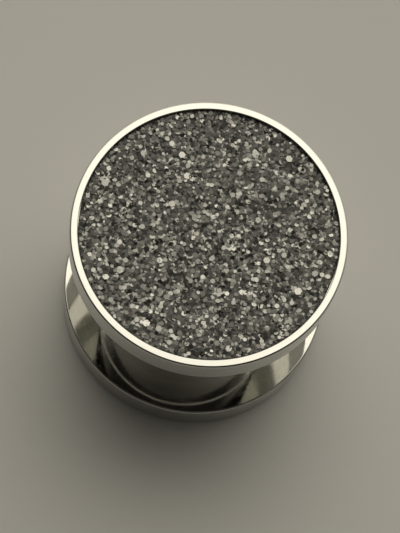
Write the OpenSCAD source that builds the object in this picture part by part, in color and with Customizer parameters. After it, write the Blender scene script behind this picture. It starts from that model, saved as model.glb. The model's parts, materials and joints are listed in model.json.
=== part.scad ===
// Ear gauge plug with a screw-fit back, in polished steel, with a glitter face.
//
// The barrel goes through a stretched ear piercing, and a flange at each end keeps it there.
// The front flange and the barrel are one turned piece. Its face is recessed for a glitter
// inlay, inside a thin steel lip. The back flange comes off, so that the barrel can pass
// through the ear: its stud fits a blind bore in the barrel.
//
// The plug stands on its back flange. The origin is the centre of the back face, and +Z
// points along the axis to the decorated face. All sizes are in millimetres.

/* [Barrel] */
// Diameter of the barrel, which is the gauge of the plug
barrel_d = 8; // [7:0.5:9]
// Distance between the two flanges, which is what the ear lobe fills
wearable_l = 6.4; // [5.6:0.2:12]

/* [Flanges] */
// Diameter of both flanges
flange_d = 12; // [11:0.5:16]
// Thickness of the front flange, with the decorated face
front_t = 1.6; // [1.4:0.1:2.5]
// Thickness of the plain back flange
back_t = 1.8; // [1.2:0.1:2.5]
// Bevel that takes the sharpness off each turned edge
edge_break = 0.08; // [0.05:0.01:0.12]

/* [Decorated face] */
// Width of the steel lip round the inlay
lip_w = 0.35; // [0.3:0.05:0.8]
// Bevel on the inner edge of the lip
lip_inner_break = 0.04; // [0.02:0.01:0.08]
// Depth of the recess that holds the inlay
recess_depth = 0.6; // [0.4:0.05:0.8]
// How far the surface of the inlay lies below the lip
inlay_sink = 0.15; // [0.05:0.05:0.25]

/* [Stud and bore] */
// Diameter of the stud on the back flange
stud_d = 5; // [4:0.25:5]
// Length of the stud above the back flange
stud_l = 3.6; // [2:0.2:4]
// Bevel on the tip of the stud, and on the mouth of the bore
lead_in = 0.3; // [0.1:0.05:0.4]
// Free depth of the bore beyond the tip of the stud
bore_spare = 0.6; // [0.3:0.1:0.8]

/* [Clearances] */
// Radial clearance of the stud in the bore
stud_clearance = 0.05; // [0.03:0.01:0.1]
// Gap left where one piece seats on another
seat_gap = 0.02; // [0.01:0.01:0.05]

/* [Colours] */
// Colour of the polished steel
steel_colour = "#b9b5a8"; // ["#b9b5a8":steel, "#c9a64f":gold, "#2b2b2d":black]
// Colour of the glitter
glitter_colour = "#77767a"; // ["#77767a":silver, "#23408f":blue, "#8f1f3a":red]

/* [Hidden] */
$fn = 128;

barrel_r = barrel_d / 2;
flange_r = flange_d / 2;
recess_r = flange_r - lip_w;
inlay_r = recess_r - seat_gap;
stud_r = stud_d / 2;
bore_r = stud_r + stud_clearance;

// Heights above the back face, from the bottom up
barrel_z = back_t + seat_gap;
stud_tip_z = back_t + stud_l;
bore_end_z = stud_tip_z + bore_spare;
front_z = back_t + wearable_l;
face_z = front_z + front_t;
recess_z = face_z - recess_depth;

// Outline of a turned rim from its lower to its upper edge, both bevelled
function rim(r, low_z, high_z) = [
    [r - edge_break, low_z],
    [r, low_z + edge_break],
    [r, high_z - edge_break],
    [r - edge_break, high_z]
];

// The outline runs down the bore, up round the barrel and the flange, and into the recess
module barrel_and_front_flange() {
    bore = [
        [0, bore_end_z],
        [bore_r, bore_end_z],
        [bore_r, barrel_z + lead_in],
        [bore_r + lead_in, barrel_z]
    ];
    barrel = [
        [barrel_r - edge_break, barrel_z],
        [barrel_r, barrel_z + edge_break],
        [barrel_r, front_z]
    ];
    recess = [
        [recess_r + lip_inner_break, face_z],
        [recess_r, face_z - lip_inner_break],
        [recess_r, recess_z],
        [0, recess_z]
    ];
    color(steel_colour)
        rotate_extrude()
            polygon(concat(bore, barrel, rim(flange_r, front_z, face_z), recess));
}

// A plain disc glued in the recess, a little below the lip
module glitter_inlay() {
    inlay_t = recess_depth - inlay_sink - seat_gap;
    color(glitter_colour)
        translate([0, 0, recess_z + seat_gap])
            cylinder(h = inlay_t, r = inlay_r);
}

// The outline runs from the back face up the rim, then up the stud to its bevelled tip
module back_flange_and_stud() {
    stud = [
        [stud_r, back_t],
        [stud_r, stud_tip_z - lead_in],
        [stud_r - lead_in, stud_tip_z],
        [0, stud_tip_z]
    ];
    color(steel_colour)
        rotate_extrude()
            polygon(concat([[0, 0]], rim(flange_r, 0, back_t), stud));
}

barrel_and_front_flange();
glitter_inlay();
back_flange_and_stud();
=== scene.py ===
"""Ear gauge plug: a polished steel spool with silver glitter set in its front face.

Outlines are in millimetres, in the CAD frame: the plug stands on z = 0 with its axis along Z.
"""
import json
import math

import bmesh
import bpy
import numpy as np
from mathutils import Matrix, Vector


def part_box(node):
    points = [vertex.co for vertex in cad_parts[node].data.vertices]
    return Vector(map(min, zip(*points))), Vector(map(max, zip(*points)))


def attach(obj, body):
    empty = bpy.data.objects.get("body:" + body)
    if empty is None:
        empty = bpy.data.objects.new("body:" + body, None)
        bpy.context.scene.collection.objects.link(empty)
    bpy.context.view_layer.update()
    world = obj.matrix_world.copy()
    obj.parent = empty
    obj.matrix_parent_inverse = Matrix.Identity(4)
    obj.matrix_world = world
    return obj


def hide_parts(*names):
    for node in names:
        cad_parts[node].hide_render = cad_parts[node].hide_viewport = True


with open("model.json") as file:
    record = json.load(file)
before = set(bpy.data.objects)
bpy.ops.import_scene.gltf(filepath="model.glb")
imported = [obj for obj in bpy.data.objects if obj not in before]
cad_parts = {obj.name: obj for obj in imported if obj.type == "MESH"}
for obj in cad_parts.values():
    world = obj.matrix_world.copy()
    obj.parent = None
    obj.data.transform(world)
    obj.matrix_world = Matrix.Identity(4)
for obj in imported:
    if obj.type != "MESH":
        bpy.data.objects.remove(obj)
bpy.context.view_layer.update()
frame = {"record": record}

MM = 0.001

# Sizes that the frame gives, in millimetres
front_low, front_high = (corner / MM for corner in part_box("barrel_and_front_flange"))
inlay_low, inlay_high = (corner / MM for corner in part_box("glitter_inlay"))
back_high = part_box("back_flange_and_stud")[1] / MM
barrel_mount = next(m for m in frame["record"]["mounts"] if m["name"] == "piercing_barrel")
barrel_mid_z = barrel_mount["pos_m"][2] / MM
barrel_wall = barrel_mount["dims"]["length_mm"]

FLANGE_R = front_high.x
BARREL_R = barrel_mount["dims"]["r_mm"]
BARREL_Z = front_low.z
FRONT_Z = barrel_mid_z + barrel_wall / 2
FACE_Z = front_high.z
EDGE_BREAK = barrel_mid_z - barrel_wall / 2 - BARREL_Z
INLAY_R = inlay_high.x
INLAY_BASE_Z = inlay_low.z
INLAY_Z = inlay_high.z
STUD_TIP_Z = back_high.z

# Sizes that part.scad gives and the frame's boxes don't show, in millimetres
SEAT_GAP = 0.02
LIP_INNER_BREAK = 0.04
STUD_R = 2.5
STUD_CLEARANCE = 0.05
LEAD_IN = 0.3
BORE_SPARE = 0.6

BACK_T = BARREL_Z - SEAT_GAP
RECESS_R = INLAY_R + SEAT_GAP
RECESS_Z = INLAY_BASE_Z - SEAT_GAP
BORE_R = STUD_R + STUD_CLEARANCE
BORE_END_Z = STUD_TIP_Z + BORE_SPARE

# The round in the corner between the barrel and the front flange, in millimetres
TOOL_R = 0.05

# How finely the turned pieces are meshed: the steps round the axis and in each rounded corner, how far
# past the corner one more row keeps the flat beside it flat, and the turn above which shading has an edge
TURN_STEPS = 192
CORNER_STEPS = 6
FLAT_HOLD = 0.01
SHARP_TURN = math.radians(30)

# The thread, cut into the plain stud and bore of the solids: its pitch and depth in millimetres, the outline
# rows in one pitch, and half the width of its crest and of its root, in pitches
THREAD_PITCH = 0.5
THREAD_DEPTH = 0.3
THREAD_ROWS = 12
CREST_HALF = 1 / 16
ROOT_HALF = 1 / 8


def corner_arc(before, corner, after, radius):
    """Points that round off one corner of an outline, with one more at each end to keep the flats flat."""
    came = (corner - before).normalized()
    goes = (after - corner).normalized()
    turn = came.angle_signed(goes)
    reach = radius * math.tan(abs(turn) / 2)
    start = corner - came * reach
    side = -math.copysign(1, turn)
    centre = start + Vector((-came.y, came.x)) * radius * side
    spoke = start - centre
    arc = [centre + Matrix.Rotation(-turn * i / CORNER_STEPS, 2) @ spoke for i in range(CORNER_STEPS + 1)]
    return [start - came * FLAT_HOLD, *arc, arc[-1] + goes * FLAT_HOLD]


def outline(*corners):
    """Outline rows (r, z, thread cut) through (r, z) or (r, z, rounding) corners."""
    places = [Vector(c[:2]) for c in corners]
    rows = []
    for i, corner in enumerate(corners):
        radius = corner[2] if len(corner) > 2 else 0
        if radius:
            rows += [(p.x, p.y, 0.0) for p in corner_arc(places[i - 1], places[i], places[i + 1], radius)]
        else:
            rows.append((places[i].x, places[i].y, 0.0))
    return rows


def threaded(r, z_from, z_to, cut):
    """Outline rows up or down a threaded wall, whose thread fades out over half a pitch at each end."""
    steps = max(2, round(abs(z_to - z_from) / THREAD_PITCH * THREAD_ROWS))
    rows = []
    for i in range(steps + 1):
        z = z_from + (z_to - z_from) * i / steps
        end_distance = min(abs(z - z_from), abs(z - z_to))
        rows.append((r, z, cut * min(1.0, end_distance / (THREAD_PITCH / 2))))
    return rows


def thread_groove(turns):
    """Share of the thread's depth at a place along the helix, with a flat crest and a flat root."""
    from_crest = abs(turns - round(turns))
    return min(1.0, max(0.0, (from_crest - CREST_HALF) / (0.5 - CREST_HALF - ROOT_HALF)))


def placed(name, data):
    """A new object in the scene, for a mesh, a light or a camera."""
    made = bpy.data.objects.new(name, data)
    bpy.context.scene.collection.objects.link(made)
    return made


def turned_ring(bm, r, z, cut):
    """The points of one outline row all round the axis, or its one point if the row is on the axis."""
    if r == 0:
        return [bm.verts.new((0, 0, z * MM))]
    ring = []
    for j in range(TURN_STEPS):
        around = j / TURN_STEPS
        at = r - cut * thread_groove(z / THREAD_PITCH - around)
        a = around * math.tau
        ring.append(bm.verts.new((at * math.cos(a) * MM, at * math.sin(a) * MM, z * MM)))
    return ring


def join_rings(bm, low, high):
    """The faces between two rings, one of which may be a single point."""
    for j in range(TURN_STEPS):
        k = (j + 1) % TURN_STEPS
        if len(low) == 1:
            bm.faces.new((low[0], high[k], high[j]))
        elif len(high) == 1:
            bm.faces.new((low[j], low[k], high[0]))
        else:
            bm.faces.new((low[j], low[k], high[k], high[j]))


def mark_sharp(bm, rows, rings):
    """Gives shading an edge along each ring where the outline turns sharply."""
    for before, here, after, ring in zip(rows, rows[1:], rows[2:], rings[1:]):
        came = Vector(here[:2]) - Vector(before[:2])
        goes = Vector(after[:2]) - Vector(here[:2])
        if abs(came.angle_signed(goes)) > SHARP_TURN:
            for j in range(TURN_STEPS):
                bm.edges.get((ring[j], ring[(j + 1) % TURN_STEPS])).smooth = False


def turned(name, rows):
    """A closed mesh of an outline turned about Z. Its rows run from axis to axis."""
    bm = bmesh.new()
    rings = [turned_ring(bm, *row) for row in rows]
    for low, high in zip(rings, rings[1:]):
        join_rings(bm, low, high)
    bmesh.ops.recalc_face_normals(bm, faces=bm.faces)
    for face in bm.faces:
        face.smooth = True
    mark_sharp(bm, rows, rings)
    mesh = bpy.data.meshes.new(name)
    bm.to_mesh(mesh)
    bm.free()
    return placed(name, mesh)


class Nodes:
    """The nodes of a material or of the world, with short calls to add them."""

    def __init__(self, tree):
        self.tree = tree

    def node(self, kind, inputs=(), **settings):
        """A new node. Inputs go by name or number, and each is a plain value or another node's output."""
        made = self.tree.nodes.new("ShaderNode" + kind)
        for setting, value in settings.items():
            setattr(made, setting, value)
        for socket, value in dict(inputs).items():
            self.feed(made.inputs[socket], value)
        return made

    def feed(self, socket, value):
        """Links another node's output to a socket, or sets a plain value on it."""
        if isinstance(value, bpy.types.NodeSocket):
            self.tree.links.new(value, socket)
        else:
            socket.default_value = value

    def math(self, operation, first, second=0.0):
        return self.node("Math", {0: first, 1: second}, operation=operation).outputs[0]

    def vector(self, operation, *inputs):
        return self.node("VectorMath", dict(enumerate(inputs)), operation=operation).outputs[0]

    def split(self, vector):
        """The x, y and z of a vector."""
        return self.node("SeparateXYZ", {0: vector}).outputs

    def ramp(self, value, low, high, to_low=0.0, to_high=1.0):
        """A value from low to high, mapped to to_low and to_high and clamped."""
        inputs = {"Value": value, "From Min": low, "From Max": high, "To Min": to_low, "To Max": to_high}
        return self.node("MapRange", inputs).outputs["Result"]

    def eased(self, value, stops):
        """A level that eases from one (place, level) stop to the next. The last place is 1."""
        first = stops[0][0]
        ramp = self.node("ValToRGB", {"Fac": self.ramp(value, first, 1.0)})
        ramp.color_ramp.interpolation = "EASE"
        elements = ramp.color_ramp.elements
        while len(elements) < len(stops):
            elements.new(1.0)
        for element, (place, level) in zip(elements, stops):
            element.position = (place - first) / (1 - first)
            element.color = (level, level, level, 1)
        return ramp.outputs["Color"]


class Paint(Nodes):
    """A procedural material. Its settings are plain values of the shader's own sockets."""

    def __init__(self, name, **settings):
        self.material = bpy.data.materials.new(name)
        self.material.use_nodes = True
        super().__init__(self.material.node_tree)
        self.shader = self.tree.nodes["Principled BSDF"]
        for socket, value in settings.items():
            self.shader.inputs[socket.replace("_", " ")].default_value = value

    def noise(self, place, scale, detail=2.0, rough=0.5):
        inputs = {"Vector": place, "Scale": scale, "Detail": detail, "Roughness": rough}
        return self.node("TexNoise", inputs).outputs["Fac"]

    def place(self):
        """The place on the piece in millimetres."""
        at = self.node("TexCoord").outputs["Object"]
        return self.node("VectorMath", {0: at, "Scale": 1 / MM}, operation="SCALE").outputs[0]

    def use(self, socket, value):
        self.feed(self.shader.inputs[socket], value)

    def use_tinted(self, level, tint):
        """Makes a level that varies over the surface the base colour, in one tint."""
        shares = [self.math("MULTIPLY", level, share) for share in tint]
        self.use("Base Color", self.node("CombineColor", dict(enumerate(shares))).outputs[0])


# Polished steel. A scale is that of its noise, a span is the part of the noise that is used, and tones or
# hazes are the share of the tint, or the roughness, at the two ends of the span. Bands and rings wander a
# little from turn to turn.
STEEL_TINT = (0.64, 0.637, 0.61)
BAND_SCALE = 2.5
BAND_SPAN = (0.3, 0.7)
BAND_TONES = (0.94, 1.05)
RING_SCALE = 16.0
RING_SPAN = (0.35, 0.65)
RING_HAZES = (0.0, 0.03)
RING_WANDER = 0.15
SMUDGE_SCALE = 0.55
SMUDGE_SPAN = (0.42, 0.66)
SMUDGE_HAZES = (0.015, 0.05)

# Hairline scratches: the turn and the scale of each set, the axis that they turn about, and their stretch
HAIRLINE_SETS = ((0.4, 1.3), (1.5, 1.7), (2.6, 1.1))
HAIRLINE_AXIS = (0.35, 0.2, 0.9)
HAIRLINE_STRETCH = (22.0, 0.35, 22.0)
HAIRLINE_SPAN = (0.68, 0.75)
HAIRLINE_HAZE = 0.12


def polished_steel():
    """Mirror-polished steel: faint polishing rings, hairline scratches and a little uneven gloss."""
    paint = Paint("polished_steel", Metallic=1.0)
    place = paint.place()
    x, y, z = paint.split(place)
    out = paint.math("SQRT", paint.math("ADD", paint.math("MULTIPLY", x, x), paint.math("MULTIPLY", y, y)))
    turn = paint.math("ARCTAN2", y, x)
    along = paint.math("ADD", out, z)
    track = paint.node("CombineXYZ", {0: along, 1: paint.math("MULTIPLY", turn, RING_WANDER)}).outputs[0]
    bands = paint.noise(track, BAND_SCALE, detail=5.0, rough=0.65)
    paint.use_tinted(paint.ramp(bands, *BAND_SPAN, *BAND_TONES), STEEL_TINT)
    rings = paint.noise(track, RING_SCALE, detail=3.0, rough=0.7)
    smudge = paint.noise(place, SMUDGE_SCALE, detail=3.0, rough=0.6)
    scratches = paint.math("MULTIPLY", hairlines(paint, place), HAIRLINE_HAZE)
    lines = paint.math("ADD", scratches, paint.ramp(rings, *RING_SPAN, *RING_HAZES))
    haze = paint.ramp(smudge, *SMUDGE_SPAN, *SMUDGE_HAZES)
    paint.use("Roughness", paint.math("ADD", haze, lines))
    return paint.material


def hairlines(paint, place):
    """Sparse hairline scratches in three directions, as 0 to 1."""
    total = 0.0
    for turn, scale in HAIRLINE_SETS:
        inputs = {"Vector": place, "Axis": HAIRLINE_AXIS, "Angle": turn}
        turned_place = paint.node("VectorRotate", inputs, rotation_type="AXIS_ANGLE").outputs[0]
        stretched = paint.vector("MULTIPLY", turned_place, HAIRLINE_STRETCH)
        line = paint.ramp(paint.noise(stretched, scale, detail=1.0), *HAIRLINE_SPAN)
        total = paint.math("MAXIMUM", total, line)
    return total


def front_rows():
    """Outline rows of the barrel and the front flange, from the bore's end to the middle of the recess."""
    rows = [(0, BORE_END_Z, 0.0)]
    rows += threaded(BORE_R, BORE_END_Z, BARREL_Z + LEAD_IN, -THREAD_DEPTH)
    rows += outline(
        (BORE_R + LEAD_IN, BARREL_Z),
        (BARREL_R, BARREL_Z, EDGE_BREAK),
        (BARREL_R, FRONT_Z, TOOL_R),
        (FLANGE_R, FRONT_Z, EDGE_BREAK),
        (FLANGE_R, FACE_Z, EDGE_BREAK),
        (RECESS_R, FACE_Z, LIP_INNER_BREAK),
        (RECESS_R, RECESS_Z),
        (0, RECESS_Z),
    )
    return rows


def back_rows():
    """Outline rows of the back flange and its stud, from the middle of the back to the stud's tip."""
    rows = outline((0, 0), (FLANGE_R, 0, EDGE_BREAK), (FLANGE_R, BACK_T, EDGE_BREAK), (STUD_R, BACK_T))
    rows += threaded(STUD_R, BACK_T, STUD_TIP_Z - LEAD_IN, THREAD_DEPTH)[1:]
    rows += outline((STUD_R - LEAD_IN, STUD_TIP_Z), (0, STUD_TIP_Z))
    return rows


def steel_pieces():
    """The two turned steel pieces, with the thread that the solids leave out."""
    steel = polished_steel()
    for name, rows, node, body in (
        ("steel_barrel_and_front_flange", front_rows(), "barrel_and_front_flange", "front"),
        ("steel_back_flange_and_stud", back_rows(), "back_flange_and_stud", "back"),
    ):
        piece = turned(name, rows)
        piece.data.materials.append(steel)
        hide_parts(node)
        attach(piece, body)


# The resin bed, which climbs the wall of the recess a little. Sizes in millimetres.
MENISCUS_W = 0.16
MENISCUS_H = 0.08
RESIN_TINT = (1.0, 1.0, 1.0)
DUST_SCALE = 16.0
DUST_SPAN = (0.3, 1.0)
DUST_SHADES = (0.03, 0.22)
DUST_BUMP = 0.5
DUST_BUMP_HEIGHT = 0.03

# The flakes bedded in it, in millimetres and degrees
FLAKE_LAYERS = (
    # spacing, smallest and largest flake, spread of tilt, height of the middles above the bed, darkest tone
    {"spacing": 0.125, "small": 0.11, "large": 0.2, "tilt": 16, "rise": 0.0, "tone": 0.0},
    {"spacing": 0.185, "small": 0.13, "large": 0.26, "tilt": 19, "rise": 0.035, "tone": 0.0},
    {"spacing": 2.3, "small": 0.27, "large": 0.35, "tilt": 9, "rise": 0.06, "tone": 0.94},
)
FLAKE_SEED = 20
FLAKE_SIDES = 6
MOST_TILT = 65

# The depth of a flake's sunk point as a share of its width, the most that the flake is lifted at random,
# and the room that it keeps below the face of the lip and from the inlay's rim
FLAKE_ROOT = 0.35
FLAKE_LIFT = 0.02
FLAKE_HEADROOM = 0.03
FLAKE_MARGIN = 0.01

# How far a flake strays from its place in the grid, in spacings, and the grid's rows beyond the rim
PLACE_JITTER = 0.45
SPARE_ROWS = 2

# The film that the flakes are cut from. A flake's tone and gloss are 0 to 1, are raised to a power, and
# then run from the first value to the second.
FLAKE_TINT = (1.0, 0.985, 0.93)
TONE_POWER = 3.0
FLAKE_TONES = (0.09, 1.0)
GLOSS_POWER = 2.0
FLAKE_ROUGHNESSES = (0.45, 0.12)


def dark_resin():
    """The resin under the flakes: dark, glossy and grainy with glitter dust."""
    paint = Paint("glitter_resin", Metallic=0.0, Roughness=0.25, IOR=1.5)
    dust = paint.node("TexVoronoi", {"Vector": paint.place(), "Scale": DUST_SCALE}).outputs["Color"]
    grain = paint.node("SeparateColor", {0: dust}).outputs[0]
    paint.use_tinted(paint.ramp(grain, *DUST_SPAN, *DUST_SHADES), RESIN_TINT)
    bump = paint.node("Bump", {"Height": grain, "Strength": DUST_BUMP, "Distance": DUST_BUMP_HEIGHT * MM})
    paint.use("Normal", bump.outputs[0])
    return paint.material


def silver_film():
    """Metallized film: each flake has its own tone and gloss."""
    paint = Paint("silver_flakes", Metallic=0.35)
    tone = paint.node("Attribute", attribute_name="tone").outputs["Fac"]
    gloss = paint.node("Attribute", attribute_name="gloss").outputs["Fac"]
    shade = paint.ramp(paint.math("POWER", tone, TONE_POWER), 0.0, 1.0, *FLAKE_TONES)
    roughness = paint.ramp(paint.math("POWER", gloss, GLOSS_POWER), 0.0, 1.0, *FLAKE_ROUGHNESSES)
    paint.use_tinted(shade, FLAKE_TINT)
    paint.use("Roughness", roughness)
    return paint.material


def resin_bed():
    """The bed, flat in the middle, with a quarter of an ellipse where it climbs the wall."""
    rows = outline((0, INLAY_BASE_Z), (INLAY_R, INLAY_BASE_Z))
    for i in range(CORNER_STEPS + 1):
        a = math.pi / 2 * i / CORNER_STEPS
        r = INLAY_R - MENISCUS_W * (1 - math.cos(a))
        z = INLAY_Z + MENISCUS_H * (1 - math.sin(a))
        rows.append((r, z, 0.0))
    rows.append((0, INLAY_Z, 0.0))
    piece = turned("glitter_bed", rows)
    piece.data.materials.append(dark_resin())
    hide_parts("glitter_inlay")
    return piece


def bed_height(out):
    """Height of the resin at a distance from the axis."""
    climb = max(0.0, 1 - (INLAY_R - out) / MENISCUS_W)
    return INLAY_Z + MENISCUS_H * (1 - math.sqrt(1 - climb * climb))


def flake_places(rng, spacing, limit):
    """Jittered places of a triangular grid inside a circle."""
    row_step = spacing * math.sqrt(3) / 2
    rows_out = int(limit / row_step) + SPARE_ROWS
    steps_out = int(limit / spacing) + SPARE_ROWS
    across = np.arange(-steps_out, steps_out + 1)
    places = []
    for row in range(-rows_out, rows_out + 1):
        x = (across + 0.5 * (row % 2)) * spacing
        y = np.full(len(x), row * row_step)
        places.append(np.stack([x, y], axis=1))
    places = np.concatenate(places)
    places += rng.uniform(-PLACE_JITTER, PLACE_JITTER, places.shape) * spacing
    return places[np.hypot(*places.T) < limit]


def flake_points(rng, layer, x, y):
    """The corners of one flake, then its sunk point, at a random size, tilt and turn."""
    out = math.hypot(x, y)
    across = min(rng.uniform(layer["small"], layer["large"]), 2 * (INLAY_R - FLAKE_MARGIN - out))
    tilt = min(abs(rng.normal(0, math.radians(layer["tilt"]))), math.radians(MOST_TILT))
    lean = Matrix.Rotation(rng.uniform(0, math.tau), 3, "Z") @ Matrix.Rotation(tilt, 3, "X")
    around = np.arange(FLAKE_SIDES) * math.tau / FLAKE_SIDES + rng.uniform(0, math.tau)
    corners = np.stack([np.cos(around), np.sin(around), np.zeros(FLAKE_SIDES)], axis=1) * (across / 2)
    points = np.concatenate([corners, [(0, 0, -across * FLAKE_ROOT)]]) @ np.array(lean).T
    z = bed_height(out) + layer["rise"] + rng.uniform(0, FLAKE_LIFT)
    z = min(z, FACE_Z - FLAKE_HEADROOM - points[:, 2].max())
    return points + (x, y, z)


def glitter_flakes():
    """Thousands of small hexagonal flakes at odd tilts, each a flat top over a point sunk in the resin."""
    rng = np.random.default_rng(FLAKE_SEED)
    verts, faces, tones, glosses = [], [], [], []
    # A flake has as many faces as points: its sides and its top, and its corners and its sunk point
    count = FLAKE_SIDES + 1
    for layer in FLAKE_LAYERS:
        for x, y in flake_places(rng, layer["spacing"], INLAY_R - FLAKE_MARGIN - layer["small"] / 2):
            point = len(verts) * count + FLAKE_SIDES
            top = list(range(point - FLAKE_SIDES, point))
            verts.append(flake_points(rng, layer, x, y))
            faces.append(top)
            faces += [[after, here, point] for here, after in zip(top, top[1:] + top[:1])]
            tones += [rng.uniform(layer["tone"], 1)] * count
            glosses += [rng.uniform(0, 1)] * count
    mesh = bpy.data.meshes.new("glitter_flakes")
    mesh.from_pydata((np.concatenate(verts) * MM).tolist(), [], faces)
    mesh.attributes.new("tone", "FLOAT", "FACE").data.foreach_set("value", tones)
    mesh.attributes.new("gloss", "FLOAT", "FACE").data.foreach_set("value", glosses)
    mesh.materials.append(silver_film())
    return placed("glitter_flakes", mesh)


def glitter():
    """The bed and its flakes, which ride with the front."""
    for piece in (resin_bed(), glitter_flakes()):
        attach(piece, "front")


# The floor, the lights and the camera, in metres
SCENE_MIDDLE = Vector((0, 0, FACE_Z / 2 * MM))
FLOOR_SIZE = 2.4
FLOOR_COLOUR = (0.88, 0.87, 0.85, 1)


def floor():
    """A plain pale square under the plug."""
    mesh = bpy.data.meshes.new("floor")
    half = FLOOR_SIZE / 2
    corners = [(-half, -half, 0), (half, -half, 0), (half, half, 0), (-half, half, 0)]
    mesh.from_pydata(corners, [], [(0, 1, 2, 3)])
    mesh.materials.append(Paint("floor", Roughness=0.6, Base_Color=FLOOR_COLOUR).material)
    piece = placed("floor", mesh)


def softbox(name, azimuth, elevation, distance, width, height, radiance, colour):
    """An area light that faces the plug. Its angles are in degrees, and azimuth is from +X towards +Y."""
    light = bpy.data.lights.new(name, "AREA")
    light.shape = "RECTANGLE"
    light.size = width
    light.size_y = height
    light.energy = radiance * math.pi * width * height
    light.color = colour
    lamp = placed(name, light)
    a, e = math.radians(azimuth), math.radians(elevation)
    away = Vector((math.cos(a) * math.cos(e), math.sin(a) * math.cos(e), math.sin(e)))
    lamp.location = SCENE_MIDDLE + away * distance
    lamp.rotation_euler = away.to_track_quat("Z", "Y").to_euler()


# The window behind the plug and the room round it. Levels go by the sine of the elevation, and the window's
# share by how far a level direction points to the back: -1 is the front, 0 the sides, 1 the back.
WINDOW_LEVELS = (
    (0.0, 0.95), (0.14, 1.05), (0.34, 1.25), (0.8, 1.15), (0.95, 0.9), (0.985, 0.3), (1.0, 0.1)
)
WINDOW_SHARES = ((-0.2, 0.0), (0.0, 0.02), (0.34, 0.17), (0.7, 0.5), (0.94, 0.87), (1.0, 1.05))
ROOM_LEVELS = (
    (0.0, 0.3), (0.12, 0.08), (0.3, 0.065), (0.5, 0.04), (0.7, 0.02), (0.985, 0.02), (1.0, 0.25)
)
DAYLIGHT_TINT = (1.0, 0.95, 0.81)


def daylight():
    """The world: a tall, soft window behind the plug and a dim room."""
    world = bpy.data.worlds.new("room")
    bpy.context.scene.world = world
    world.use_nodes = True
    sky = Nodes(world.node_tree)
    way = sky.node("TexCoord").outputs["Generated"]
    up = sky.split(way)["Z"]
    back = sky.split(sky.vector("NORMALIZE", sky.vector("MULTIPLY", way, (1, 1, 0))))["Y"]
    window = sky.eased(up, WINDOW_LEVELS)
    share = sky.eased(back, WINDOW_SHARES)
    room = sky.eased(up, ROOM_LEVELS)
    background = sky.tree.nodes["Background"]
    background.inputs["Color"].default_value = (*DAYLIGHT_TINT, 1)
    sky.feed(background.inputs["Strength"], sky.vector("MULTIPLY_ADD", window, share, room))


def lights():
    """The daylight, and a wide softbox high behind the plug."""
    daylight()
    softbox(
        "top_softbox",
        azimuth=90,
        elevation=69,
        distance=0.6,
        width=0.5,
        height=0.22,
        radiance=0.72,
        colour=DAYLIGHT_TINT,
    )


# The photograph's view of the plug: the camera's distance and elevation, how far the plug's axis leans in
# the picture, and the picture's height and the front flange's width in pixels
CAMERA_DISTANCE = 0.106
CAMERA_ELEVATION = math.radians(72)
AXIS_LEAN = math.radians(15.7)
FRAME_H = 533
RING_PIXELS = 280
SENSOR_MM = 36


def camera():
    """The camera. Its lens gives the front flange its width in the picture."""
    data = bpy.data.cameras.new("camera")
    made = placed("camera", data)
    bpy.context.scene.camera = made
    away = Vector((0, -math.cos(CAMERA_ELEVATION), math.sin(CAMERA_ELEVATION)))
    made.location = SCENE_MIDDLE + away * CAMERA_DISTANCE
    look = away.to_track_quat("Z", "Y").to_matrix()
    made.rotation_euler = (look @ Matrix.Rotation(AXIS_LEAN, 3, "Z")).to_euler()
    face_distance = CAMERA_DISTANCE - (FACE_Z * MM - SCENE_MIDDLE.z) * math.sin(CAMERA_ELEVATION)
    frame_h_at_face = 2 * FLANGE_R * MM / RING_PIXELS * FRAME_H
    data.sensor_width = SENSOR_MM
    data.lens = SENSOR_MM * face_distance / frame_h_at_face
    data.clip_start = 0.005
    data.clip_end = 10


steel_pieces()
glitter()
floor()
lights()
camera()
bpy.context.scene.view_settings.view_transform = "Standard"
